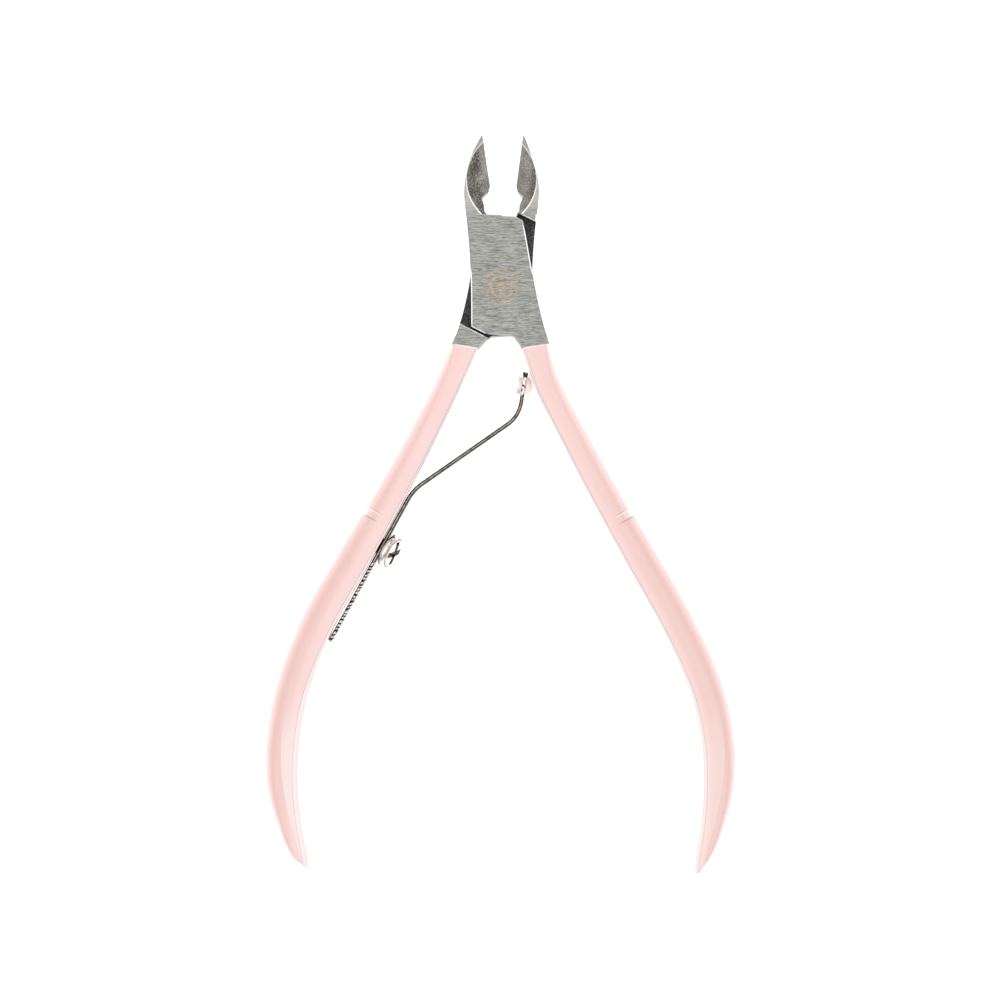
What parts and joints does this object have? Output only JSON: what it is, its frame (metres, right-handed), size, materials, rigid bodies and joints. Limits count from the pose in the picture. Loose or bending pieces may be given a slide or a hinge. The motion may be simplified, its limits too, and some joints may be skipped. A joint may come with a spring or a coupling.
{
  "type": "cuticle nipper",
  "caption": "Lap-joint cuticle nipper with hollow-ground jaws, lacquered handles and a leaf return spring with a nylon glide button.",
  "frame": {"origin": "on the pivot axis at the joint's back face", "axes": "+Y towards the jaws' tips, +X to the right seen from the front, +Z out of the joint's front face"},
  "size_m": [0.066, 0.1035, 0.0064],
  "materials": {
    "lever_steel": "fine horizontal brushing, dark unground steel in the lap recesses",
    "pink_lacquer": "pale pink gloss lacquer",
    "rivet_steel": "ground flush",
    "spring_steel": "dark spring steel with ground edges",
    "screw_chrome": "bright nickel plate",
    "button_nylon": "translucent pinkish white nylon"
  },
  "bodies": {
    "front_lever": {"front_lever": "lever_steel", "front_handle_coat": "pink_lacquer", "pivot_rivet": "rivet_steel"},
    "rear_lever": {"rear_lever": "lever_steel", "rear_handle_coat": "pink_lacquer", "leaf_spring": "spring_steel", "spring_screw": "screw_chrome"},
    "spring_tip": {"glide_button": "button_nylon"}
  },
  "joints": [
    {"name": "nipper_close", "type": "hinge", "parent": "front_lever", "child": "rear_lever", "pos_m": [0, 0, 0], "axis": [0, 0, 1], "range_deg": [0, 15.8], "stiffness_Nm_per_rad": 0.25, "springref_deg": -5.73},
    {"name": "spring_flex", "type": "hinge", "parent": "rear_lever", "child": "spring_tip", "pos_m": [-0.0035, -0.0285, 0], "axis": [0, 0, 1], "range_deg": [0, 19], "deforming": ["leaf_spring"]}
  ],
  "couplings": [
    {"joint": "spring_flex", "follows": "nipper_close", "ratio": 1.19}
  ]
}
